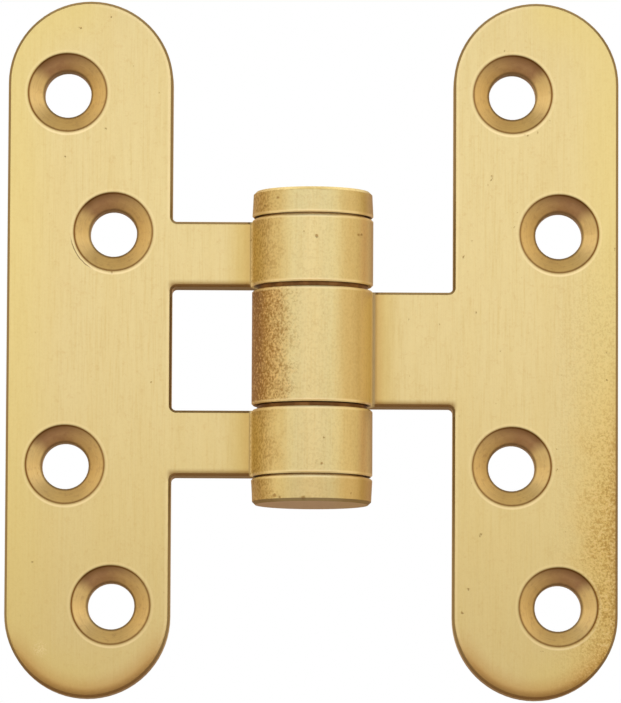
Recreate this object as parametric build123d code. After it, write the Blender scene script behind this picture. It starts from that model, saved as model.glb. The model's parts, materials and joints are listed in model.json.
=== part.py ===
from build123d import *
import math
import os

# Solid brass box hinge, opened flat. The pin stands along Z through the origin, X runs across
# the two leaves, and the countersunk faces look towards -Y. All sizes are millimetres.

# Leaves: stadium plates with screw holes in a zigzag
leaf_height = 50.8
leaf_width = 12.0
leaf_thickness = 2.8
leaf_reach = 10.225
face_setback = 0.25
edge_chamfer = 0.18

# Arms that carry the knuckles, flush with them where two knuckles meet
outer_arm_inset = 0.1
window_fillet = 0.35
front_root_fillet = 0.25
back_root_fillet = 0.6

# Barrel: two outer knuckles, one middle knuckle, washers and end caps
barrel_diameter = 8.8
outer_knuckle_length = 4.85
middle_knuckle_length = 8.35
knuckle_chamfer = 0.12
washer_thickness = 0.3
washer_setback = 0.4
cap_height = 2.03
cap_taper = 0.08
cap_seam_gap = 0.16
cap_seam_depth = 0.5
cap_seam_chamfer = 0.1
cap_end_chamfer = 0.22
cap_stem_length = 1.6

# Pin
pin_diameter = 4.0
pin_chamfer = 0.3

# Clearances: radial for bores, along the pin for the ends
tight_clearance = 0.01
running_clearance = 0.05
washer_bore_clearance = 0.15
axial_clearance = 0.04
pin_end_clearance = 0.1

# Countersunk screw holes
screw_hole_diameter = 3.4
countersink_diameter = 5.7
countersink_angle = 82.0
end_hole_height = 18.7
inner_hole_height = 8.5
hole_stagger = 1.7
cutter_overrun = 0.5

# Sizes that follow
barrel_radius = barrel_diameter / 2
pin_radius = pin_diameter / 2
tight_bore_radius = pin_radius + tight_clearance
running_bore_radius = pin_radius + running_clearance
leaf_back = face_setback + leaf_thickness
leaf_middle = leaf_reach + leaf_width / 2
knuckle_gap = washer_thickness + axial_clearance
outer_knuckle_start = middle_knuckle_length / 2 + knuckle_gap
outer_knuckle_end = outer_knuckle_start + outer_knuckle_length
outer_arm_height = outer_knuckle_length - outer_arm_inset
outer_arm_middle = outer_knuckle_start + outer_arm_height / 2

LEFT = -1
RIGHT = 1
UPPER = 1
LOWER = -1
SAME_PLACE = 1e-4


def turned(profile):
    """A solid of revolution about the pin, from (radius, height) points."""
    outline = Plane.XZ * make_face(Polyline(*profile, close=True))
    return revolve(outline, Axis.Z)


def chamfered_rod(radius, length, rim):
    """A round bar along the pin, centred on the origin, with chamfered ends."""
    top = length / 2
    profile = [
        (0, -top),
        (radius - rim, -top),
        (radius, rim - top),
        (radius, top - rim),
        (radius - rim, top),
        (0, top),
    ]
    return turned(profile)


def stand(solid, end):
    """The solid as it is for the upper end, turned over for the lower one."""
    if end == UPPER:
        return solid
    return Rot(180, 0, 0) * solid


def leaf_outline(side, arms):
    """The stadium with its arms, seen from the front, with rounded inner corners."""
    outline = Pos(side * leaf_middle, 0) * SlotOverall(leaf_height, leaf_width, rotation=90)
    for height, middle in arms:
        outline += Pos(side * leaf_middle / 2, middle) * Rectangle(leaf_middle, height)
    corners = []
    for vertex in outline.vertices():
        if abs(abs(vertex.X) - leaf_reach) < SAME_PLACE and abs(vertex.Y) < outer_knuckle_end:
            corners.append(vertex)
    return fillet(corners, window_fillet)


def countersunk_cutter():
    """A screw hole along +Z, with the wide end of its countersink at the origin."""
    hole_radius = screw_hole_diameter / 2
    mouth_radius = countersink_diameter / 2
    slope = math.tan(math.radians(countersink_angle / 2))
    depth = (mouth_radius - hole_radius) / slope
    profile = [
        (0, -cutter_overrun),
        (mouth_radius + cutter_overrun * slope, -cutter_overrun),
        (hole_radius, depth),
        (hole_radius, leaf_thickness + cutter_overrun),
        (0, leaf_thickness + cutter_overrun),
    ]
    return turned(profile)


def screw_holes(side):
    """The four holes of one leaf, left and right of its middle line by turns."""
    places = [
        (-hole_stagger, end_hole_height),
        (hole_stagger, inner_hole_height),
        (-hole_stagger, -inner_hole_height),
        (hole_stagger, -end_hole_height),
    ]
    cutter = countersunk_cutter()
    holes = []
    for across, height in places:
        origin = (side * leaf_middle + across, face_setback, height)
        holes.append(Plane(origin, x_dir=(1, 0, 0), z_dir=(0, 1, 0)) * cutter)
    return holes


def leaf_plate(side, arms):
    """The flat plate of one leaf with its arms, the edges of both faces broken."""
    back = Plane.XZ.offset(-leaf_back)
    plate = extrude(back * leaf_outline(side, arms), leaf_thickness)
    faces = plate.faces().sort_by(Axis.Y)
    edges = faces[0].edges() + faces[-1].edges()
    return chamfer(edges, edge_chamfer)


def arm_root(side, height, middle):
    """The arm's section where it grows out of its knuckle, with a fillet front and back."""
    arm_middle = (side * leaf_reach / 2, face_setback + leaf_thickness / 2)
    section = Circle(barrel_radius) + Pos(*arm_middle) * Rectangle(leaf_reach, leaf_thickness)
    for level, radius in ((face_setback, front_root_fillet), (leaf_back, back_root_fillet)):
        meeting = (side * math.sqrt(barrel_radius**2 - level**2), level, 0)
        corner = section.vertices().sort_by_distance(meeting)[0]
        section = fillet(corner, radius)
    straight_height = height - 2 * edge_chamfer
    return extrude(Pos(0, 0, middle - straight_height / 2) * section, straight_height)


def knuckle(length, middle):
    """One length of the barrel with chamfered rims, before its bore is cut."""
    return Pos(0, 0, middle) * chamfered_rod(barrel_radius, length, knuckle_chamfer)


def leaf(side, knuckles, arms, bore_radius):
    """One cast leaf: plate, arms, knuckles, screw holes and the bore for the pin."""
    body = leaf_plate(side, arms)
    for height, middle in arms:
        body += arm_root(side, height, middle)
    for length, middle in knuckles:
        body += knuckle(length, middle)
    for hole in screw_holes(side):
        body -= hole
    bore_length = 2 * (outer_knuckle_end + cutter_overrun)
    return body - Cylinder(bore_radius, bore_length)


def left_leaf():
    """The leaf with two arms and the two outer knuckles."""
    knuckle_middle = outer_knuckle_start + outer_knuckle_length / 2
    knuckles = [(outer_knuckle_length, end * knuckle_middle) for end in (UPPER, LOWER)]
    arms = [(outer_arm_height, end * outer_arm_middle) for end in (UPPER, LOWER)]
    return leaf(LEFT, knuckles, arms, tight_bore_radius)


def right_leaf():
    """The leaf with one arm and the middle knuckle, which turns on the pin."""
    knuckles = [(middle_knuckle_length, 0)]
    arms = [(middle_knuckle_length, 0)]
    return leaf(RIGHT, knuckles, arms, running_bore_radius)


def hinge_pin():
    """The pin, which ends just short of the stems of the two caps."""
    length = 2 * (outer_knuckle_end - cap_stem_length - pin_end_clearance)
    return chamfered_rod(pin_radius, length, pin_chamfer)


def cap(end):
    """A turned end cap: a slightly tapered disc on a low shoulder, with a stem in the knuckle's bore."""
    seat = outer_knuckle_end
    top = seat + cap_height
    rim = seat + cap_seam_gap
    shoulder_radius = barrel_radius - cap_seam_depth
    profile = [
        (0, seat - cap_stem_length),
        (pin_radius, seat - cap_stem_length),
        (pin_radius, seat),
        (shoulder_radius, seat),
        (shoulder_radius, rim),
        (barrel_radius - cap_seam_chamfer, rim),
        (barrel_radius, rim + cap_seam_chamfer),
        (barrel_radius - cap_taper, top - cap_end_chamfer),
        (barrel_radius - cap_taper - cap_end_chamfer, top),
        (0, top),
    ]
    return stand(turned(profile), end)


def washer(end):
    """A thin washer that lies against the outer knuckle, a little inside the barrel's surface."""
    outer = barrel_radius - washer_setback
    bore = pin_radius + washer_bore_clearance
    top = outer_knuckle_start
    bottom = top - washer_thickness
    return stand(turned([(bore, bottom), (outer, bottom), (outer, top), (bore, top)]), end)


parts = {
    "left_leaf": left_leaf(),
    "right_leaf": right_leaf(),
    "hinge_pin": hinge_pin(),
    "top_cap": cap(UPPER),
    "bottom_cap": cap(LOWER),
    "upper_washer": washer(UPPER),
    "lower_washer": washer(LOWER),
}

os.makedirs("parts", exist_ok=True)
for name, solid in parts.items():
    export_step(solid, f"parts/{name}.step")
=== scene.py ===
import json
import math
import bpy
from mathutils import Matrix, Vector


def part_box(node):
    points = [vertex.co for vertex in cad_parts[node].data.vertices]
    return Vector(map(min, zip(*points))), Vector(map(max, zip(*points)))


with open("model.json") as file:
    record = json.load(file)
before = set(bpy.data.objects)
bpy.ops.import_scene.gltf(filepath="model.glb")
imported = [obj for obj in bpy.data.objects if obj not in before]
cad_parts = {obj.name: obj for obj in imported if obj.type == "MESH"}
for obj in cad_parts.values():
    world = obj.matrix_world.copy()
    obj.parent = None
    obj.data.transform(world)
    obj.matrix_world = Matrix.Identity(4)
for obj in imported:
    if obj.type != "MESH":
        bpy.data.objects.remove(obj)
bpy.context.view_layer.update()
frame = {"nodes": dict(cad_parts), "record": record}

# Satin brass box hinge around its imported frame. Scene units are metres; the textures work in
# millimetres of the hinge's own frame, so every mark stays on its piece when a leaf swings.

MM = 0.001
METRE_IN_MM = 1000.0

# Camera at the photograph's angle, a little below the middle of the hinge
IMAGE_HEIGHT = 703
SENSOR_WIDTH = 36.0
CAMERA_DISTANCE = 560 * MM
CAMERA_ELEVATION = math.radians(-5.4)
CAMERA_ROLL = math.radians(0.29)
CAMERA_TARGET = Vector((-0.13 * MM, 0.0, -0.21 * MM))
CAMERA_CLIP = (0.01, 20.0)
FOCAL_LENGTH_PIXELS = 7711.0
VIEW_DIRECTION = Vector((0.0, math.cos(CAMERA_ELEVATION), -math.sin(CAMERA_ELEVATION)))

# Sizes in millimetres: from the frame where it gives them, or else real sizes of the hinge.
# An arm is given by its middle's height, above and below the middle of the hinge, and its half height.
# The lower cap and its end begin between the two heights given.
cap_low, cap_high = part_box("top_cap")
BARREL_RADIUS = (cap_high[0] - cap_low[0]) / 2 * METRE_IN_MM
_, leaf_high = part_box("right_leaf")
LEAF_OUTER = leaf_high[0] * METRE_IN_MM
LEAF_TOP = leaf_high[2] * METRE_IN_MM
LEAF_HALF_WIDTH = 6.0
LEAF_INNER = LEAF_OUTER - 2 * LEAF_HALF_WIDTH
SINK_RADIUS = 2.85
SINK_BOTTOM = 1.58
HOLE_RADIUS = 1.7
KNUCKLE_RIMS = (4.06, 4.63, 9.25, 9.62)
LOWER_CAP = (-9.0, -9.5)
LOWER_CAP_END = (-10.5, -11.0)
ARMS = {"left": (6.89, 2.375), "right": (0.0, 4.175)}
SIDES = {"left": -1.0, "right": 1.0}

# Single marks: pits in the barrel as x, z and radius, a burr at one countersink of the left leaf,
# given by the hole's height and the angle about it, and a scuffed spot as x and z
BARREL_PITS = [(0.27, 7.76, 0.15), (3.32, 8.02, 0.13), (3.52, 8.06, 0.11), (0.70, -8.73, 0.13),
               (-2.54, 10.64, 0.14), (-2.69, -10.95, 0.17), (-2.3, -11.1, 0.13), (-0.6, -11.2, 0.2)]
BURR_HEIGHT = 8.5
BURR_ANGLE = -34.0
SCUFF = (-19.6, -21.9)

# Colours of the polished brass, as linear red, green, blue, and how orange the arms' roots are; the pale
# colour is a painted highlight that also serves for burnish and scuffs, the corner buff and the root orange
# are painted shade with a painted reflection of the barrel, and the end orange is painted shade
POLISHED = (0.78, 0.70, 0.383)
HONEY = (0.75, 0.64, 0.305)
HIGHLIGHT_AND_WEAR_PALE = (0.98, 0.87, 0.55)
BORDER_GOLD = (0.79, 0.69, 0.28)
CORNER_SHADE_BUFF = (0.66, 0.52, 0.18)
END_SHADE_ORANGE = (0.60, 0.38, 0.14)
ROOT_SHADE_ORANGE = (0.62, 0.40, 0.165)
ROOT_SHADE_AMOUNT = {"left": 0.25, "right": 0.6}
EDGE_TINT = (0.80, 0.66, 0.52)

# Colours of the cast skin and the flanks of the barrel; the orange and the skin brown are partly painted
# shade, the valley colours carry painted shade and the ridge colour a painted highlight on the grain, the
# flank brown is painted shade and the flank pale a painted highlight
ORANGE_TONE_AND_SHADE = (0.60, 0.42, 0.16)
CAST_SKIN_AND_SHADE_BROWN = (0.58, 0.39, 0.175)
CAST_GOLD = (0.80, 0.56, 0.17)
CAST_VALLEY = (0.36, 0.205, 0.05)
CAST_RIDGE = (0.88, 0.70, 0.35)
BORDER_VALLEY = (0.45, 0.26, 0.06)
FLANK_SHADE_BROWN = (0.38, 0.235, 0.15)
FLANK_HIGHLIGHT_PALE = (0.95, 0.74, 0.52)
PIT_BROWN = (0.38, 0.235, 0.085)

# Colours of the countersinks; the tarnish colour also serves as painted shade, the deep, rim and bore
# colours are painted shade, and the darkest colour is painted shade and the burr
TURNED_PALE = (0.94, 0.775, 0.415)
TURNED_DARK = (0.84, 0.67, 0.335)
TARNISH_AND_SHADE = (0.44, 0.27, 0.165)
WEDGE_SHADE_DEEP = (0.27, 0.15, 0.07)
SHADE_AND_BURR_DARK = (0.11, 0.045, 0.007)
RIM_SHADE_BROWN = (0.21, 0.085, 0.01)
BORE_SHADE_BROWN = (0.22, 0.15, 0.09)

# Colours of painted shade on edges, undersides and recesses
EDGE_SHADE_BROWN = (0.24, 0.165, 0.085)
WALL_SHADE_BROWN = (0.55, 0.40, 0.19)
UNDERSIDE_SHADE_BROWN = (0.25, 0.125, 0.04)
CAP_UNDERSIDE_SHADE = (0.54, 0.36, 0.25)
CREVICE_SHADE_BROWN = (0.26, 0.115, 0.035)

# Colours of the pin and the washers
STEEL_PALE = (0.56, 0.56, 0.57)
STEEL_DARK = (0.38, 0.38, 0.40)
BRONZE_PALE = (0.30, 0.16, 0.06)
BRONZE_DARK = (0.16, 0.08, 0.03)

# Painted shade along the right flank of the outer knuckles and the caps, with a painted highlight on the
# knuckles: x, half width, colour and amount
FLANK_SHADE_AND_HIGHLIGHT = {
    "left": [(2.8, 1.2, ORANGE_TONE_AND_SHADE, 0.3), (3.7, 0.5, FLANK_HIGHLIGHT_PALE, 0.45), (4.4, 0.45, FLANK_SHADE_BROWN, 0.4)],
    None: [(2.8, 1.2, ORANGE_TONE_AND_SHADE, 0.3), (4.4, 1.0, FLANK_SHADE_BROWN, 0.45)],
}

# Patterns in the brass: how the brush marks, finer marks and slow bands are squeezed along x, y and z,
# and the fineness of the dust and of the cast grain, on the leaves and on the barrel
STREAK_SQUEEZE = (4.5, 4.5, 0.22)
FINE_SQUEEZE = (9.0, 9.0, 0.4)
BAND_SQUEEZE = (0.5, 0.5, 0.05)
DUST_FINENESS = 2.2
GRAIN_FINENESS = (6.4, 5.4)

# Depth of the cast grain where there is no cast skin, on the leaves and on the barrel
LEAF_GRAIN = 0.06
BARREL_GRAIN = 0.14

# The right leaf's cast border: its width and the heights between which it begins
BORDER_WIDTH = 4.4
BORDER_HEIGHTS = (3.0, -14.0)

# Degrees about a screw hole, outward 0 and upward 90, between which the wedge of painted shade and the
# painted highlight on the lower lip of a countersink begin and end
WEDGE_BEGINS = (23.0, 51.0)
WEDGE_ENDS = (162.0, 70.0)
LIP_BEGINS = (-20.0, -70.0)
LIP_ENDS = (-160.0, -110.0)

# Surface of the brass: roughness of the brushed metal from low to high, what the cast skin, the
# countersinks and the right arm's root add to it, and relief as strength and depth
BRUSHED_ROUGHNESS = (0.33, 0.45)
SKIN_ROUGHNESS = 0.06
CONE_ROUGHNESS = 0.06
ROOT_ROUGHNESS = 0.2
BRUSH_RELIEF = (0.25, 0.02 * MM)
SKIN_RELIEF = (0.7, 0.08 * MM)
PIT_RELIEF = (0.4, 0.06 * MM)

# Edges of the brass: radius of the usual edge and of the leaves' lower ends in millimetres, the share
# of that rounding that the arms have, the width of the burnished lips, and how far normals are leaned
EDGE_RADIUS = 0.05
END_RADIUS = 0.9
ARM_SHARE = 0.4
LIP_WIDTH = 0.16
BURNISH_WIDTH = 0.3
CONE_LEAN = Vector((0.12, -0.28, -0.14))
ROOT_LEAN = Vector((0.0, -1.5, 0.0))
CREVICE_REACH = 0.6 * MM
EDGE_SAMPLES = 6
CREVICE_SAMPLES = 8

# Light of the studio: soft lobes of the dome as direction, half width in degrees and colour, and
# the cosines to the view direction between which the mirrored white backdrop begins
WHITE = (1.0, 1.0, 1.0)
DOME_LOBES = [
    ((0.0, -0.94, -0.34), 45, (0.56, 0.28, 0.03)),
    ((0.0, -0.94, 0.34), 45, (0.06, 0.10, 0.14)),
    ((1.0, 0.0, 0.1), 60, (1.0, 0.82, 0.58)),
    ((-1.0, 0.0, 0.1), 60, (1.0, 0.82, 0.58)),
    ((0.75, -0.66, 0.0), 35, (0.18, 0.13, 0.06)),
    ((-0.75, -0.66, 0.0), 35, (0.18, 0.13, 0.06)),
    ((0.6, 0.8, 0.0), 40, (0.52, 0.40, 0.36)),
    ((-0.6, 0.8, 0.0), 40, (0.52, 0.40, 0.36)),
    ((0.0, 0.0, 1.0), 60, (0.71, 0.55, 0.30)),
    ((0.0, 1.0, 0.1), 35, (0.40, 0.36, 0.30)),
]
BACKDROP_COSINES = (0.9945, 0.9965)

# Strips of the lamp in front: height of the middle, height and brightness
FRONT_STRIPS = [(0.0, 40 * MM, 0.74), (40 * MM, 40 * MM, 1.07), (85 * MM, 50 * MM, 0.48)]
FRONT_DISTANCE = 140 * MM
FRONT_WIDTH = 340 * MM

# Overhead lamp above and behind the hinge
OVERHEAD_PLACE = (0.0, 300 * MM, 400 * MM)
OVERHEAD_AIM = (0.0, 0.0, -60 * MM)
OVERHEAD_SIZE = (800 * MM, 500 * MM)
OVERHEAD_BRIGHTNESS = 1.2

# Floor: it is opaque out to a share of its radius, and for the camera partly a white glow
FLOOR_LEVEL = -62 * MM
FLOOR_RADIUS = 240 * MM
FLOOR_OPAQUE = 0.25
FLOOR_PALE = (0.80, 0.79, 0.77)
FLOOR_GREY = (0.76, 0.75, 0.73)
FLOOR_GLOW = 0.6


class Graph:
    """Short calls that add the nodes of one node tree and give back their output sockets."""

    def __init__(self, tree):
        self.tree = tree

    def node(self, kind, **settings):
        node = self.tree.nodes.new(kind)
        for name, value in settings.items():
            setattr(node, name, value)
        return node

    def feed(self, socket, value):
        """Links a socket to the input, or else sets the value on it."""
        if isinstance(value, bpy.types.NodeSocket):
            self.tree.links.new(value, socket)
        elif socket.type == "RGBA":
            socket.default_value = (*value, 1.0)
        else:
            socket.default_value = value

    def math(self, operation, *values):
        node = self.node("ShaderNodeMath", operation=operation)
        for socket, value in zip(node.inputs, values):
            self.feed(socket, value)
        return node.outputs[0]

    def vector(self, operation, *values, output="Vector"):
        node = self.node("ShaderNodeVectorMath", operation=operation)
        for socket, value in zip(node.inputs, values):
            self.feed(socket, value)
        return node.outputs[output]

    def scaled(self, vector, factor):
        node = self.node("ShaderNodeVectorMath", operation="SCALE")
        self.feed(node.inputs["Vector"], vector)
        self.feed(node.inputs["Scale"], factor)
        return node.outputs["Vector"]

    def axes(self, vector):
        node = self.node("ShaderNodeSeparateXYZ")
        self.feed(node.inputs[0], vector)
        return node.outputs

    def fade(self, value, start, end):
        """0 up to start, 1 from end on, smooth between; start may be above end."""
        node = self.node("ShaderNodeMapRange", interpolation_type="SMOOTHSTEP")
        self.feed(node.inputs["Value"], value)
        self.feed(node.inputs["From Min"], start)
        self.feed(node.inputs["From Max"], end)
        return node.outputs["Result"]

    def ring(self, value, middle, width):
        """1 where value is at middle, fading out over width on both sides."""
        off = self.math("ABSOLUTE", self.math("SUBTRACT", value, middle))
        return self.fade(off, width, 0.0)

    def between(self, value, low, high):
        """Low where value is 0, high where it is 1."""
        node = self.node("ShaderNodeMapRange")
        self.feed(node.inputs["Value"], value)
        self.feed(node.inputs["To Min"], low)
        self.feed(node.inputs["To Max"], high)
        return node.outputs["Result"]

    def raised(self, value, amount, mask):
        """The value, higher by amount where mask is 1."""
        return self.math("ADD", value, self.math("MULTIPLY", mask, amount))

    def mix(self, factor, first, second):
        node = self.node("ShaderNodeMix", data_type="RGBA")
        self.feed(node.inputs[0], factor)
        self.feed(node.inputs[6], first)
        self.feed(node.inputs[7], second)
        return node.outputs[2]

    def blend(self, factor, first, second):
        """The first shader where factor is 0, the second where it is 1."""
        node = self.node("ShaderNodeMixShader")
        for socket, value in zip(node.inputs, (factor, first, second)):
            self.feed(socket, value)
        return node.outputs[0]

    def product(self, first, *others):
        for other in others:
            first = self.math("MULTIPLY", first, other)
        return first

    def highest(self, first, *others):
        for other in others:
            first = self.math("MAXIMUM", first, other)
        return first

    def length(self, first, second):
        squares = self.math("ADD", self.product(first, first), self.product(second, second))
        return self.math("SQRT", squares)

    def noise(self, vector, scale, detail=2.0, roughness=0.5):
        node = self.node("ShaderNodeTexNoise")
        self.feed(node.inputs["Vector"], vector)
        self.feed(node.inputs["Scale"], scale)
        self.feed(node.inputs["Detail"], detail)
        self.feed(node.inputs["Roughness"], roughness)
        return node.outputs["Fac"]

    def bump(self, height, strength, depth, normal):
        node = self.node("ShaderNodeBump")
        self.feed(node.inputs["Strength"], strength)
        self.feed(node.inputs["Distance"], depth)
        self.feed(node.inputs["Height"], height)
        self.feed(node.inputs["Normal"], normal)
        return node.outputs["Normal"]


class Brass(Graph):
    """The graph of one brass material: where a point is on the hinge, and the colour painted so far."""

    def __init__(self, tree):
        super().__init__(tree)
        coordinates = self.node("ShaderNodeTexCoord").outputs
        self.place = self.scaled(coordinates["Object"], METRE_IN_MM)
        self.x, self.y, self.z = self.axes(self.place)
        _, facing, self.upward = self.axes(coordinates["Normal"])
        self.facing = self.math("ABSOLUTE", facing)
        self.from_pin = self.length(self.x, self.y)
        self.on_barrel = self.fade(self.from_pin, BARREL_RADIUS + 0.25, BARREL_RADIUS + 0.05)
        self.off_barrel = self.math("SUBTRACT", 1.0, self.on_barrel)
        self.colour = POLISHED

    def paint(self, other, amount, *masks):
        """Moves the colour towards another by amount where the masks are 1."""
        self.colour = self.mix(self.product(amount, *masks), self.colour, other)

    def shifted(self, x, y, z):
        """The place moved, so that a pattern differs from others of its kind."""
        return self.vector("ADD", self.place, (x, y, z))

    def squeezed(self, factors):
        """The place multiplied along x, y and z, so that a pattern gets finer or longer."""
        return self.vector("MULTIPLY", self.place, factors)

    def away_from(self, x, z):
        """Distance from a point of the hinge, seen from the front."""
        return self.length(self.math("SUBTRACT", self.x, x), self.math("SUBTRACT", self.z, z))

    def ragged(self, value, scale, reach):
        """The value with a slow random offset, for wandering borders."""
        offset = self.math("SUBTRACT", self.noise(self.place, scale), 0.5)
        return self.raised(value, reach, offset)


def new_material(name, kind=Graph):
    material = bpy.data.materials.new(name)
    material.use_nodes = True
    graph = kind(material.node_tree)
    return material, graph, material.node_tree.nodes["Principled BSDF"]


def millimetres(graph):
    """The point on the piece, in millimetres of the hinge's frame."""
    return graph.scaled(graph.node("ShaderNodeTexCoord").outputs["Object"], METRE_IN_MM)


def rounded_normal(graph, radius):
    """The normal as if the edges were rounded by the radius."""
    node = graph.node("ShaderNodeBevel", samples=EDGE_SAMPLES)
    graph.feed(node.inputs["Radius"], radius)
    return node.outputs["Normal"]


def crevice(graph, reach):
    """1 deep in a gap, 0 on open faces."""
    node = graph.node("ShaderNodeAmbientOcclusion", samples=CREVICE_SAMPLES)
    graph.feed(node.inputs["Distance"], reach)
    return graph.math("SUBTRACT", 1.0, node.outputs["AO"])


def burnished(graph, normal, mask):
    """The normal laid level where mask is 1, so that a burnished lip mirrors what the barrel does."""
    level = graph.vector("NORMALIZE", graph.vector("MULTIPLY", normal, (1.0, 1.0, 0.2)))
    node = graph.node("ShaderNodeMix", data_type="VECTOR")
    graph.feed(node.inputs[0], mask)
    graph.feed(node.inputs[4], normal)
    graph.feed(node.inputs[5], level)
    return node.outputs[1]


def lean(graph, normal, direction, mask):
    """The normal tipped towards a direction of the piece where mask is 1."""
    turn = graph.node("ShaderNodeVectorTransform", vector_type="VECTOR")
    turn.convert_from = "OBJECT"
    turn.convert_to = "WORLD"
    graph.feed(turn.inputs[0], direction)
    tipped = graph.vector("ADD", normal, graph.scaled(turn.outputs[0], mask))
    return graph.vector("NORMALIZE", tipped)


def brush_marks(brass):
    """Fine brush marks along the leaves, slow bands and dust; gives back the marks and the dust."""
    streaks = brass.noise(brass.squeezed(STREAK_SQUEEZE), 1.0, detail=5.0, roughness=0.75)
    bands = brass.noise(brass.squeezed(BAND_SQUEEZE), 1.0)
    dust = brass.noise(brass.place, DUST_FINENESS, detail=5.0, roughness=0.7)
    fine = brass.noise(brass.squeezed(FINE_SQUEEZE), 1.0, detail=2.0)
    brushed = brass.fade(brass.math("ABSOLUTE", brass.x), LEAF_INNER - 1.0, LEAF_INNER + 1.0)
    brass.paint(HONEY, brass.between(brushed, 0.32, 0.5), brass.fade(streaks, 0.42, 0.75))
    brass.paint(ORANGE_TONE_AND_SHADE, 0.1, brass.fade(fine, 0.48, 0.70))
    brass.paint(HONEY, 0.3, brass.fade(bands, 0.45, 0.75))
    brass.paint(ORANGE_TONE_AND_SHADE, 0.22, brass.fade(dust, 0.52, 0.72))
    return streaks, dust


def pits_of(brass):
    """A few stray pits, and the single ones in the front of the barrel; gives back where they are."""
    pits = brass.fade(brass.noise(brass.shifted(5.0, 3.0, 60.0), 1.7, detail=3.0), 0.735, 0.79)
    front = brass.fade(brass.y, 0.0, -0.5)
    for x, z, radius in BARREL_PITS:
        pit = brass.fade(brass.ragged(brass.away_from(x, z), 6.0, 0.12), radius, 0.3 * radius)
        pits = brass.highest(pits, brass.product(pit, front))
    brass.paint(PIT_BROWN, 0.75, pits)
    return pits


def outline_of(brass, side):
    """Distance inward from the leaf's round-ended outline, and how far that outline faces down."""
    centre = SIDES[side] * (LEAF_OUTER - LEAF_HALF_WIDTH)
    across = brass.math("ABSOLUTE", brass.math("SUBTRACT", brass.x, centre))
    beyond = brass.math("SUBTRACT", brass.math("ABSOLUTE", brass.z), LEAF_TOP - LEAF_HALF_WIDTH)
    beyond = brass.math("MAXIMUM", beyond, 0.0)
    radius = brass.length(across, beyond)
    slope = brass.math("DIVIDE", beyond, brass.math("MAXIMUM", radius, 0.01))
    down = brass.product(slope, brass.fade(brass.z, 0.0, -1.0))
    return brass.math("SUBTRACT", LEAF_HALF_WIDTH, radius), down


def outward_of(brass, side):
    """Distance from the pin towards the outer border of one leaf."""
    return brass.math("MULTIPLY", brass.x, SIDES[side])


def undersides(side):
    """Heights of the lower edges of one leaf's arms."""
    middle, half = ARMS[side]
    return sorted({middle - half, -middle - half})


def above_or_below_arms(brass, side):
    """0 at the height of an arm, 1 elsewhere."""
    middle, half = ARMS[side]
    off = brass.math("SUBTRACT", brass.math("ABSOLUTE", brass.z), middle)
    return brass.fade(brass.math("ABSOLUTE", off), half - 0.1, half + 0.5)


def arm_front(brass):
    """1 on the front of the arms, 0 behind."""
    return brass.fade(brass.y, 0.8, 0.4)


def joint_of(brass, outward):
    """1 on the front where the arms grow out of the barrel."""
    return brass.product(brass.ring(outward, BARREL_RADIUS + 0.1, 0.3), arm_front(brass))


def middle_knuckle_skin(brass):
    """Brown cast skin on the middle knuckle's left flank, deepened by painted shade, with a painted shade
    edge, and painted shade and a painted highlight on its right flank; gives back where the skin is.
    """
    across = brass.ragged(brass.x, 0.7, 2.4)
    # Cast skin on the left flank, deepened by painted shade, and painted shade at its edge
    brass.paint(CAST_SKIN_AND_SHADE_BROWN, 1.0, brass.fade(across, -1.1, -3.9), brass.on_barrel)
    left_edge = brass.fade(brass.ragged(brass.x, 0.9, 0.8), -3.2, -4.0)
    brass.paint(FLANK_SHADE_BROWN, 0.7, left_edge, brass.on_barrel)
    # Painted shade on the right flank and a painted highlight near its edge
    right_flank = brass.product(brass.fade(brass.x, 1.2, 2.8), brass.fade(brass.x, 3.8, 3.2))
    brass.paint(ORANGE_TONE_AND_SHADE, 0.45, right_flank, brass.on_barrel)
    brass.paint(FLANK_HIGHLIGHT_PALE, 0.35, brass.fade(brass.x, 3.3, 3.7), brass.on_barrel)
    return brass.product(brass.fade(across, -0.2, -3.1), brass.on_barrel)


def border_skin(brass):
    """Golden cast skin along the lower outer border of the right leaf; gives back where it is."""
    border = brass.fade(brass.ragged(brass.x, 0.5, 3.0), LEAF_OUTER - BORDER_WIDTH, LEAF_OUTER)
    border = brass.product(border, brass.fade(brass.z, *BORDER_HEIGHTS))
    brass.paint(CAST_GOLD, 0.6, border)
    brass.paint(ORANGE_TONE_AND_SHADE, 0.7, border, brass.fade(brass.x, LEAF_OUTER - 0.9, LEAF_OUTER))
    rough_half = brass.product(brass.fade(brass.x, LEAF_OUTER - 7.0, LEAF_OUTER - 1.0),
                               brass.fade(brass.z, 12.0, 0.0))
    return brass.highest(border, brass.math("MULTIPLY", rough_half, 0.3))


def outer_barrel_skin(brass, side):
    """Fainter cast skin on the left flank of the outer knuckles or the caps, its orange partly painted
    shade, and painted shade along the right flank, with a painted highlight on the knuckles; gives back
    where the skin is.
    """
    flank = brass.fade(brass.ragged(brass.x, 0.7, 2.4), -1.3, -3.9)
    # Cast skin on the left flank, its orange partly painted shade
    brass.paint(ORANGE_TONE_AND_SHADE, 0.5, flank, brass.on_barrel)
    # Painted shade along the right flank, with a painted highlight on the knuckles
    for middle, width, tone, amount in FLANK_SHADE_AND_HIGHLIGHT[side]:
        brass.paint(tone, amount, brass.ring(brass.x, middle, width), brass.on_barrel)
    return brass.product(0.65, flank, brass.on_barrel)


def cast_skin(brass, side):
    """Skin of the casting that was never polished off; gives back where it is."""
    if side == "right":
        return brass.highest(middle_knuckle_skin(brass), border_skin(brass))
    return outer_barrel_skin(brass, side)


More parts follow.
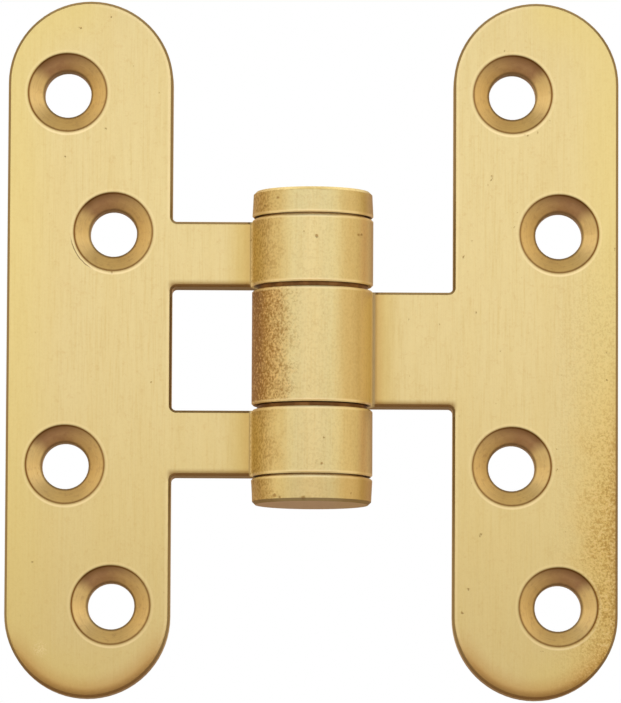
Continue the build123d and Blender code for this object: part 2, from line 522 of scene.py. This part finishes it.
def cast_grain(brass, skin):
    """Dark valleys and bright ridges of grain, partly painted shade and painted highlight, deep in the cast
    skin and faint elsewhere; gives back their height.
    """
    fineness = brass.between(brass.on_barrel, *GRAIN_FINENESS)
    grain = brass.noise(brass.place, fineness, detail=2.0, roughness=0.6)
    depth = brass.highest(skin, brass.math("MULTIPLY", brass.on_barrel, BARREL_GRAIN), LEAF_GRAIN)
    valley = brass.mix(brass.on_barrel, BORDER_VALLEY, CAST_VALLEY)
    # Grain colour, partly painted shade in the valleys and partly a painted highlight on the ridges
    brass.paint(valley, brass.between(brass.on_barrel, 0.65, 0.75), depth, brass.fade(grain, 0.53, 0.37))
    brass.paint(CAST_RIDGE, 0.75, depth, brass.fade(grain, 0.52, 0.66))
    return brass.product(grain, depth)


def rim_lips(brass, width):
    """1 on the burnished lips along the ends of the knuckles and caps."""
    height = brass.math("ABSOLUTE", brass.z)
    lips = brass.highest(*[brass.ring(height, rim, width) for rim in KNUCKLE_RIMS])
    return brass.product(lips, brass.on_barrel)


def hole_axes(side):
    """Where the screw holes of one leaf are, as x and z in millimetres."""
    axes = []
    for mount in frame["record"]["mounts"]:
        if mount["kind"] == "bolt_pattern" and mount["name"].startswith(side):
            half = mount["dims"]["spacing_y_mm"] / 2
            x, _, z = (METRE_IN_MM * value for value in mount["pos_m"])
            axes += [(x, z - half), (x, z + half)]
    return axes


def around_holes(brass, side):
    """Distance from the nearest screw hole's axis, and degrees about it: outward 0, upward 90."""
    nearest, across, above = 100.0, 0.0, 0.0
    for x, z in hole_axes(side):
        distance = brass.away_from(x, z)
        near = brass.fade(distance, 4.5, 4.2)
        nearest = brass.math("MINIMUM", nearest, distance)
        across = brass.math("ADD", across, brass.product(near, brass.math("SUBTRACT", brass.x, x)))
        above = brass.math("ADD", above, brass.product(near, brass.math("SUBTRACT", brass.z, z)))
    angle = brass.math("ARCTAN2", above, brass.math("MULTIPLY", across, SIDES[side]))
    return nearest, brass.math("DEGREES", angle)


def turned_metal(brass, hole, wedge, dust):
    """The colour of a countersink: turned rings, tarnish spots, and a wedge of painted shade that darkens
    towards the rim.
    """
    rings = brass.noise(brass.math("MULTIPLY", hole, 9.0), 1.0, detail=3.0)
    turned = brass.mix(brass.fade(rings, 0.3, 0.7), TURNED_DARK, TURNED_PALE)
    turned = brass.mix(brass.product(0.3, brass.fade(dust, 0.48, 0.75)), turned, TARNISH_AND_SHADE)
    # Painted shade: the wedge takes the tarnish colour and darkens towards the rim
    turned = brass.mix(brass.product(wedge, brass.between(dust, 0.7, 1.1)), turned, TARNISH_AND_SHADE)
    shade = brass.product(0.85, wedge, brass.fade(hole, SINK_RADIUS - 0.6, SINK_RADIUS - 0.05))
    return brass.mix(shade, turned, WEDGE_SHADE_DEEP)


def sink_rims(brass, hole, angle, wedge, front):
    """Painted shade on the rim of a countersink and at the bore, and a painted highlight on the lip below
    it.
    """
    outer = brass.fade(brass.math("ABSOLUTE", angle), 75.0, 25.0)
    # Painted shade along the rim, strongest in the wedge and on the outer side
    rim = brass.ring(hole, SINK_RADIUS, 0.14)
    edge = brass.mix(wedge, RIM_SHADE_BROWN, SHADE_AND_BURR_DARK)
    brass.paint(edge, brass.between(brass.highest(wedge, outer), 0.8, 0.97), rim, front)
    # Painted highlight on the lower lip
    lower = brass.product(brass.fade(angle, *LIP_BEGINS), brass.fade(angle, *LIP_ENDS))
    lip = brass.ring(hole, SINK_RADIUS + 0.22, 0.12)
    brass.paint(HIGHLIGHT_AND_WEAR_PALE, brass.between(lower, 0.25, 0.8), lip, front)
    # Painted shade at the bore
    brass.paint(BORE_SHADE_BROWN, 0.75, brass.fade(hole, HOLE_RADIUS + 0.18, HOLE_RADIUS + 0.06))


def burr(brass, hole, angle, front):
    """A thin dark burr beside one countersink."""
    hair = brass.ring(brass.ragged(hole, 2.0, 0.12), SINK_RADIUS + 0.26, 0.06)
    arc = brass.fade(brass.math("ABSOLUTE", brass.math("SUBTRACT", angle, BURR_ANGLE)), 30.0, 15.0)
    level = brass.ring(brass.z, BURR_HEIGHT, 4.0)
    brass.paint(SHADE_AND_BURR_DARK, 0.8, hair, arc, brass.fade(level, 0.0, 0.2), front)


def countersinks(brass, side, dust):
    """Turned cones with painted shade on the upper wall and the rims and a painted highlight on the lower
    lips; gives back where the cones are.
    """
    hole, angle = around_holes(brass, side)
    front = brass.fade(brass.y, SINK_BOTTOM, SINK_BOTTOM - 0.5)
    cone = brass.product(brass.fade(hole, SINK_RADIUS + 0.04, SINK_RADIUS - 0.02),
                         brass.fade(brass.y, SINK_BOTTOM + 0.1, SINK_BOTTOM))
    wedge = brass.product(brass.fade(angle, *WEDGE_BEGINS), brass.fade(angle, *WEDGE_ENDS))
    brass.paint(turned_metal(brass, hole, wedge, dust), 1.0, cone)
    sink_rims(brass, hole, angle, wedge, front)
    if side == "left":
        burr(brass, hole, angle, front)
    return cone


def plate_tones(brass, side, inward, outward):
    """Golden borders, a painted highlight along the inner edge and the scuffed spot of the left leaf."""
    outer_half = brass.fade(outward, LEAF_OUTER - 8.0, LEAF_OUTER - 5.0)
    brass.paint(BORDER_GOLD, 0.55, brass.fade(inward, 4.5, 0.3), outer_half)
    brass.paint(BORDER_GOLD, 0.2, brass.fade(brass.z, 0.0, -15.0), brass.off_barrel)
    inner_half = brass.math("SUBTRACT", 1.0, outer_half)
    # Painted highlight along the inner edge
    lip = brass.product(brass.ring(inward, 0.3, 0.15), inner_half, brass.fade(brass.facing, 0.95, 0.99))
    brass.paint(HIGHLIGHT_AND_WEAR_PALE, 0.35, lip, above_or_below_arms(brass, side))
    if side == "left":
        scratches = brass.fade(brass.noise(brass.shifted(31.0, 7.0, 13.0), 9.0, detail=3.0), 0.45, 0.62)
        brass.paint(HIGHLIGHT_AND_WEAR_PALE, 0.6, brass.fade(brass.away_from(*SCUFF), 0.8, 0.1), scratches)


def painted_arm_shade(brass, side, outward):
    """Buff arms with orange roots, both painted shade with a painted reflection of the barrel, and brown,
    rolled lower edges of painted shade.
    """
    # Painted shade and a painted reflection of the barrel near the arms' roots
    corner = brass.fade(brass.from_pin, BARREL_RADIUS + 2.6, BARREL_RADIUS - 0.2)
    brass.paint(CORNER_SHADE_BUFF, 0.85, corner, brass.off_barrel)
    root = brass.fade(outward, BARREL_RADIUS + 1.0, BARREL_RADIUS - 0.1)
    brass.paint(ROOT_SHADE_ORANGE, ROOT_SHADE_AMOUNT[side], root, brass.off_barrel, arm_front(brass))
    arm = brass.product(brass.fade(outward, LEAF_INNER + 0.4, LEAF_INNER), brass.off_barrel)
    # Painted shade along the arms' lower edges
    for level in undersides(side):
        above = brass.math("SUBTRACT", brass.z, level)
        rolled = brass.product(brass.fade(above, 0.6, 0.1), brass.fade(above, -0.5, -0.2))
        brass.paint(UNDERSIDE_SHADE_BROWN, 0.55, rolled, arm)


def painted_end_shade(brass, inward, down):
    """Painted shade on the lower ends: orange with a brown border; gives back where they are."""
    # Painted shade on the lower ends
    brass.paint(END_SHADE_ORANGE, 0.95, brass.fade(down, 0.05, 0.7), brass.fade(inward, 1.9, -0.2))
    brass.paint(UNDERSIDE_SHADE_BROWN, 0.45, brass.fade(down, 0.4, 0.95), brass.fade(inward, 0.75, 0.15))
    return brass.product(brass.fade(down, 0.1, 0.8), brass.fade(inward, 2.2, 0.6))


def plate_edge_shade(brass, cone):
    """Painted shade on the plate: brown walls, darker broken edges and dark undersides."""
    plate = brass.product(brass.off_barrel, brass.math("SUBTRACT", 1.0, cone))
    broken = brass.product(plate, brass.fade(brass.facing, 0.98, 0.9))
    # Painted shade on walls, broken edges and undersides
    brass.paint(WALL_SHADE_BROWN, 0.7, broken, brass.fade(brass.facing, 0.5, 0.2))
    brass.paint(EDGE_SHADE_BROWN, 0.85, broken, brass.fade(brass.facing, 0.3, 0.6))
    brass.paint(UNDERSIDE_SHADE_BROWN, 0.7, broken, brass.fade(brass.upward, -0.2, -0.8))


def below_arms(brass, side, outward):
    """1 at the lower edges of the arms."""
    edges = []
    for level in undersides(side):
        edges.append(brass.fade(brass.math("ABSOLUTE", brass.math("SUBTRACT", brass.z, level)), 0.9, 0.6))
    inside = brass.fade(outward, LEAF_INNER + 0.3, LEAF_INNER)
    outside = brass.fade(outward, BARREL_RADIUS, BARREL_RADIUS + 0.3)
    return brass.product(brass.highest(*edges), inside, outside)


def leaf_rounding(brass, side, outward, end):
    """Radius of a leaf's edges: large at its lower end, less so below the arms, small elsewhere."""
    arms = brass.math("MULTIPLY", below_arms(brass, side, outward), ARM_SHARE)
    return brass.math("MULTIPLY", brass.between(brass.highest(end, arms), EDGE_RADIUS, END_RADIUS), MM)


def cap_end(brass):
    """Painted shade on the lower cap: its orange right flank, dull underside and the brown line of its
    broken edge.
    """
    end = brass.fade(brass.z, *LOWER_CAP_END)
    # Painted shade on the underside, the right flank and the broken edge
    brass.paint(CAP_UNDERSIDE_SHADE, 0.85, brass.fade(brass.upward, -0.8, -0.95), end)
    brass.paint(ORANGE_TONE_AND_SHADE, 0.4, brass.fade(brass.x, 1.0, 2.6), brass.fade(brass.z, *LOWER_CAP))
    broken = brass.product(brass.fade(brass.upward, -0.15, -0.4), brass.fade(brass.upward, -0.95, -0.8))
    brass.paint(EDGE_SHADE_BROWN, 0.8, broken, end)


def worked_metal(brass, side, streaks):
    """Cast skin, pits, and pale lips along the knuckle ends, partly burnish and partly painted highlight;
    gives back the roughness and the relief.
    """
    skin = cast_skin(brass, side)
    lumps = cast_grain(brass, skin)
    pits = pits_of(brass)
    # Pale lips along the knuckle ends: partly burnish, partly painted highlight
    brass.paint(HIGHLIGHT_AND_WEAR_PALE, 0.7, rim_lips(brass, LIP_WIDTH))
    rough = brass.raised(brass.between(streaks, *BRUSHED_ROUGHNESS), SKIN_ROUGHNESS, skin)
    hollows = brass.math("MULTIPLY", pits, -1.0)
    return rough, [(streaks, *BRUSH_RELIEF), (lumps, *SKIN_RELIEF), (hollows, *PIT_RELIEF)]


def edge_normal(brass, radius):
    """The normal with rounded edges and burnished lips."""
    return burnished(brass, rounded_normal(brass, radius), rim_lips(brass, BURNISH_WIDTH))


def finish_brass(brass, shader, rough, normal, relief):
    """Darkens the crevices with painted shade, lays the relief on the normal and feeds the shader."""
    # Painted shade in the crevices
    brass.paint(CREVICE_SHADE_BROWN, 1.0, brass.fade(crevice(brass, CREVICE_REACH), 0.5, 0.95))
    for height, strength, depth in relief:
        normal = brass.bump(height, strength, depth, normal)
    brass.feed(shader.inputs["Base Color"], brass.colour)
    brass.feed(shader.inputs["Roughness"], rough)
    brass.feed(shader.inputs["Normal"], normal)
    brass.feed(shader.inputs["Metallic"], 1.0)
    brass.feed(shader.inputs["Specular Tint"], EDGE_TINT)


def leaf_brass(side):
    """Brushed brass of one leaf, with its countersinks, arms and knuckles."""
    material, brass, shader = new_material(f"brass_{side}_leaf", Brass)
    streaks, dust = brush_marks(brass)
    inward, down = outline_of(brass, side)
    outward = outward_of(brass, side)
    plate_tones(brass, side, inward, outward)
    painted_arm_shade(brass, side, outward)
    end = painted_end_shade(brass, inward, down)
    rough, relief = worked_metal(brass, side, streaks)

    cone = countersinks(brass, side, dust)
    plate_edge_shade(brass, cone)
    joint = joint_of(brass, outward)
    rough = brass.raised(rough, CONE_ROUGHNESS, cone)
    # A painted shade line where the right leaf's arm meets the barrel
    if side == "right":
        brass.paint(SHADE_AND_BURR_DARK, 0.6, brass.ring(outward, BARREL_RADIUS, 0.16), joint)
        rough = brass.raised(rough, ROOT_ROUGHNESS, joint)

    normal = edge_normal(brass, leaf_rounding(brass, side, outward, end))
    normal = lean(brass, normal, CONE_LEAN * Vector((SIDES[side], 1.0, 1.0)), cone)
    normal = lean(brass, normal, ROOT_LEAN, joint)
    finish_brass(brass, shader, rough, normal, relief)
    return material


def cap_brass():
    """Brushed brass of the two end caps."""
    material, brass, shader = new_material("brass_cap", Brass)
    streaks, _ = brush_marks(brass)
    rough, relief = worked_metal(brass, None, streaks)
    cap_end(brass)
    finish_brass(brass, shader, rough, edge_normal(brass, EDGE_RADIUS * MM), relief)
    return material


def ground_steel():
    """Steel of the pin, ground in fine rings."""
    material, graph, shader = new_material("ground_steel")
    rings = graph.noise(graph.vector("MULTIPLY", millimetres(graph), (0.4, 0.4, 9.0)), 1.0, detail=3.0)
    normal = graph.bump(rings, 0.15, 0.01 * MM, rounded_normal(graph, 0.1 * MM))
    graph.feed(shader.inputs["Base Color"], graph.mix(rings, STEEL_DARK, STEEL_PALE))
    graph.feed(shader.inputs["Roughness"], graph.between(rings, 0.25, 0.42))
    graph.feed(shader.inputs["Normal"], normal)
    graph.feed(shader.inputs["Metallic"], 1.0)
    return material


def oiled_bronze():
    """Dark, blotchy bronze of the washers."""
    material, graph, shader = new_material("oiled_bronze")
    blotches = graph.noise(millimetres(graph), 1.2, detail=4.0)
    colour = graph.mix(graph.fade(blotches, 0.35, 0.7), BRONZE_DARK, BRONZE_PALE)
    normal = graph.bump(blotches, 0.1, 0.02 * MM, rounded_normal(graph, 0.05 * MM))
    graph.feed(shader.inputs["Base Color"], colour)
    graph.feed(shader.inputs["Roughness"], graph.between(blotches, 0.4, 0.6))
    graph.feed(shader.inputs["Normal"], normal)
    graph.feed(shader.inputs["Metallic"], 1.0)
    return material


def floor_paper():
    """Pale paper that keeps the hinge's shadow and fades out into the white around it."""
    material, graph, shader = new_material("floor_paper")
    place = graph.node("ShaderNodeTexCoord").outputs["Object"]
    fibres = graph.noise(place, 40.0, detail=3.0)
    graph.feed(shader.inputs["Base Color"], graph.mix(fibres, FLOOR_GREY, FLOOR_PALE))
    graph.feed(shader.inputs["Roughness"], 0.9)
    glow = graph.node("ShaderNodeEmission")
    graph.feed(glow.inputs["Color"], WHITE)
    rays = graph.node("ShaderNodeLightPath").outputs
    seen = graph.math("MULTIPLY", rays["Is Camera Ray"], FLOOR_GLOW)
    paper = graph.blend(seen, shader.outputs[0], glow.outputs[0])
    distance = graph.vector("LENGTH", place, output="Value")
    faded = graph.fade(distance, FLOOR_OPAQUE * FLOOR_RADIUS, FLOOR_RADIUS)
    clear = graph.node("ShaderNodeBsdfTransparent").outputs[0]
    output = material.node_tree.nodes["Material Output"]
    graph.feed(output.inputs["Surface"], graph.blend(faded, paper, clear))
    return material


def dress(material, *nodes):
    for node in nodes:
        for slot in frame["nodes"][node].material_slots:
            slot.material = material


def place_camera():
    camera = bpy.data.objects.new("camera", bpy.data.cameras.new("camera"))
    bpy.context.scene.collection.objects.link(camera)
    camera.data.sensor_width = SENSOR_WIDTH
    camera.data.lens = FOCAL_LENGTH_PIXELS / IMAGE_HEIGHT * SENSOR_WIDTH
    camera.data.clip_start, camera.data.clip_end = CAMERA_CLIP
    right = Matrix.Rotation(-CAMERA_ROLL, 3, VIEW_DIRECTION) @ Vector((1.0, 0.0, 0.0))
    up = right.cross(VIEW_DIRECTION)
    turn = Matrix((right, up, -VIEW_DIRECTION)).transposed()
    position = CAMERA_TARGET - CAMERA_DISTANCE * VIEW_DIRECTION
    camera.matrix_world = Matrix.Translation(position) @ turn.to_4x4()
    bpy.context.scene.camera = camera


def softbox(name, position, aim, size, radiance):
    """A rectangular soft lamp whose face is as bright as radiance says."""
    lamp = bpy.data.lights.new(name, "AREA")
    lamp.shape = "RECTANGLE"
    lamp.size, lamp.size_y = size
    lamp.energy = radiance * math.pi * size[0] * size[1]
    holder = bpy.data.objects.new(name, lamp)
    holder.location = position
    holder.rotation_euler = (Vector(aim) - Vector(position)).to_track_quat("-Z", "Y").to_euler()
    holder.visible_camera = False
    bpy.context.scene.collection.objects.link(holder)


def dome_light(graph, direction):
    """The light of all lobes that comes from a direction."""
    light = (0.0, 0.0, 0.0)
    for axis, half_width, colour in DOME_LOBES:
        towards = graph.vector("DOT_PRODUCT", direction, Vector(axis).normalized(), output="Value")
        lobe = graph.fade(towards, math.cos(math.radians(half_width)), 1.0)
        light = graph.vector("ADD", light, graph.scaled(colour, lobe))
    return light


def background(graph, colour):
    node = graph.node("ShaderNodeBackground")
    graph.feed(node.inputs["Color"], colour)
    graph.feed(node.inputs["Strength"], 1.0)
    return node.outputs[0]


def studio_world():
    """A dome of soft lobes, brightest at both sides, that the camera sees as white. Straight behind
    the hinge it is white for reflections too."""
    world = bpy.data.worlds.new("studio")
    bpy.context.scene.world = world
    world.use_nodes = True
    world.node_tree.nodes.clear()
    graph = Graph(world.node_tree)
    direction = graph.node("ShaderNodeTexCoord").outputs["Generated"]
    rays = graph.node("ShaderNodeLightPath").outputs
    straight_behind = graph.vector("DOT_PRODUCT", direction, VIEW_DIRECTION, output="Value")
    backdrop = graph.fade(straight_behind, *BACKDROP_COSINES)
    mirrored = graph.math("MULTIPLY", rays["Is Glossy Ray"], backdrop)
    seen = graph.highest(rays["Is Camera Ray"], rays["Is Transmission Ray"], mirrored)
    dome = background(graph, dome_light(graph, direction))
    surface = graph.blend(seen, dome, background(graph, WHITE))
    graph.feed(graph.node("ShaderNodeOutputWorld").inputs["Surface"], surface)


def pale_floor():
    """The sheet of paper below the hinge."""
    mesh = bpy.data.meshes.new("floor")
    size = FLOOR_RADIUS
    corners = [(-size, -size, 0.0), (size, -size, 0.0), (size, size, 0.0), (-size, size, 0.0)]
    mesh.from_pydata(corners, [], [(0, 1, 2, 3)])
    mesh.materials.append(floor_paper())
    floor = bpy.data.objects.new("floor", mesh)
    floor.location.z = FLOOR_LEVEL
    bpy.context.scene.collection.objects.link(floor)


dress(leaf_brass("left"), "left_leaf")
dress(leaf_brass("right"), "right_leaf")
dress(cap_brass(), "top_cap", "bottom_cap")
dress(ground_steel(), "hinge_pin")
dress(oiled_bronze(), "upper_washer", "lower_washer")

place_camera()
studio_world()
pale_floor()
for height, tall, brightness in FRONT_STRIPS:
    softbox("front", (0.0, -FRONT_DISTANCE, height), (0.0, 0.0, height), (FRONT_WIDTH, tall), brightness)
softbox("overhead", OVERHEAD_PLACE, OVERHEAD_AIM, OVERHEAD_SIZE, OVERHEAD_BRIGHTNESS)

bpy.context.scene.view_settings.view_transform = "Standard"
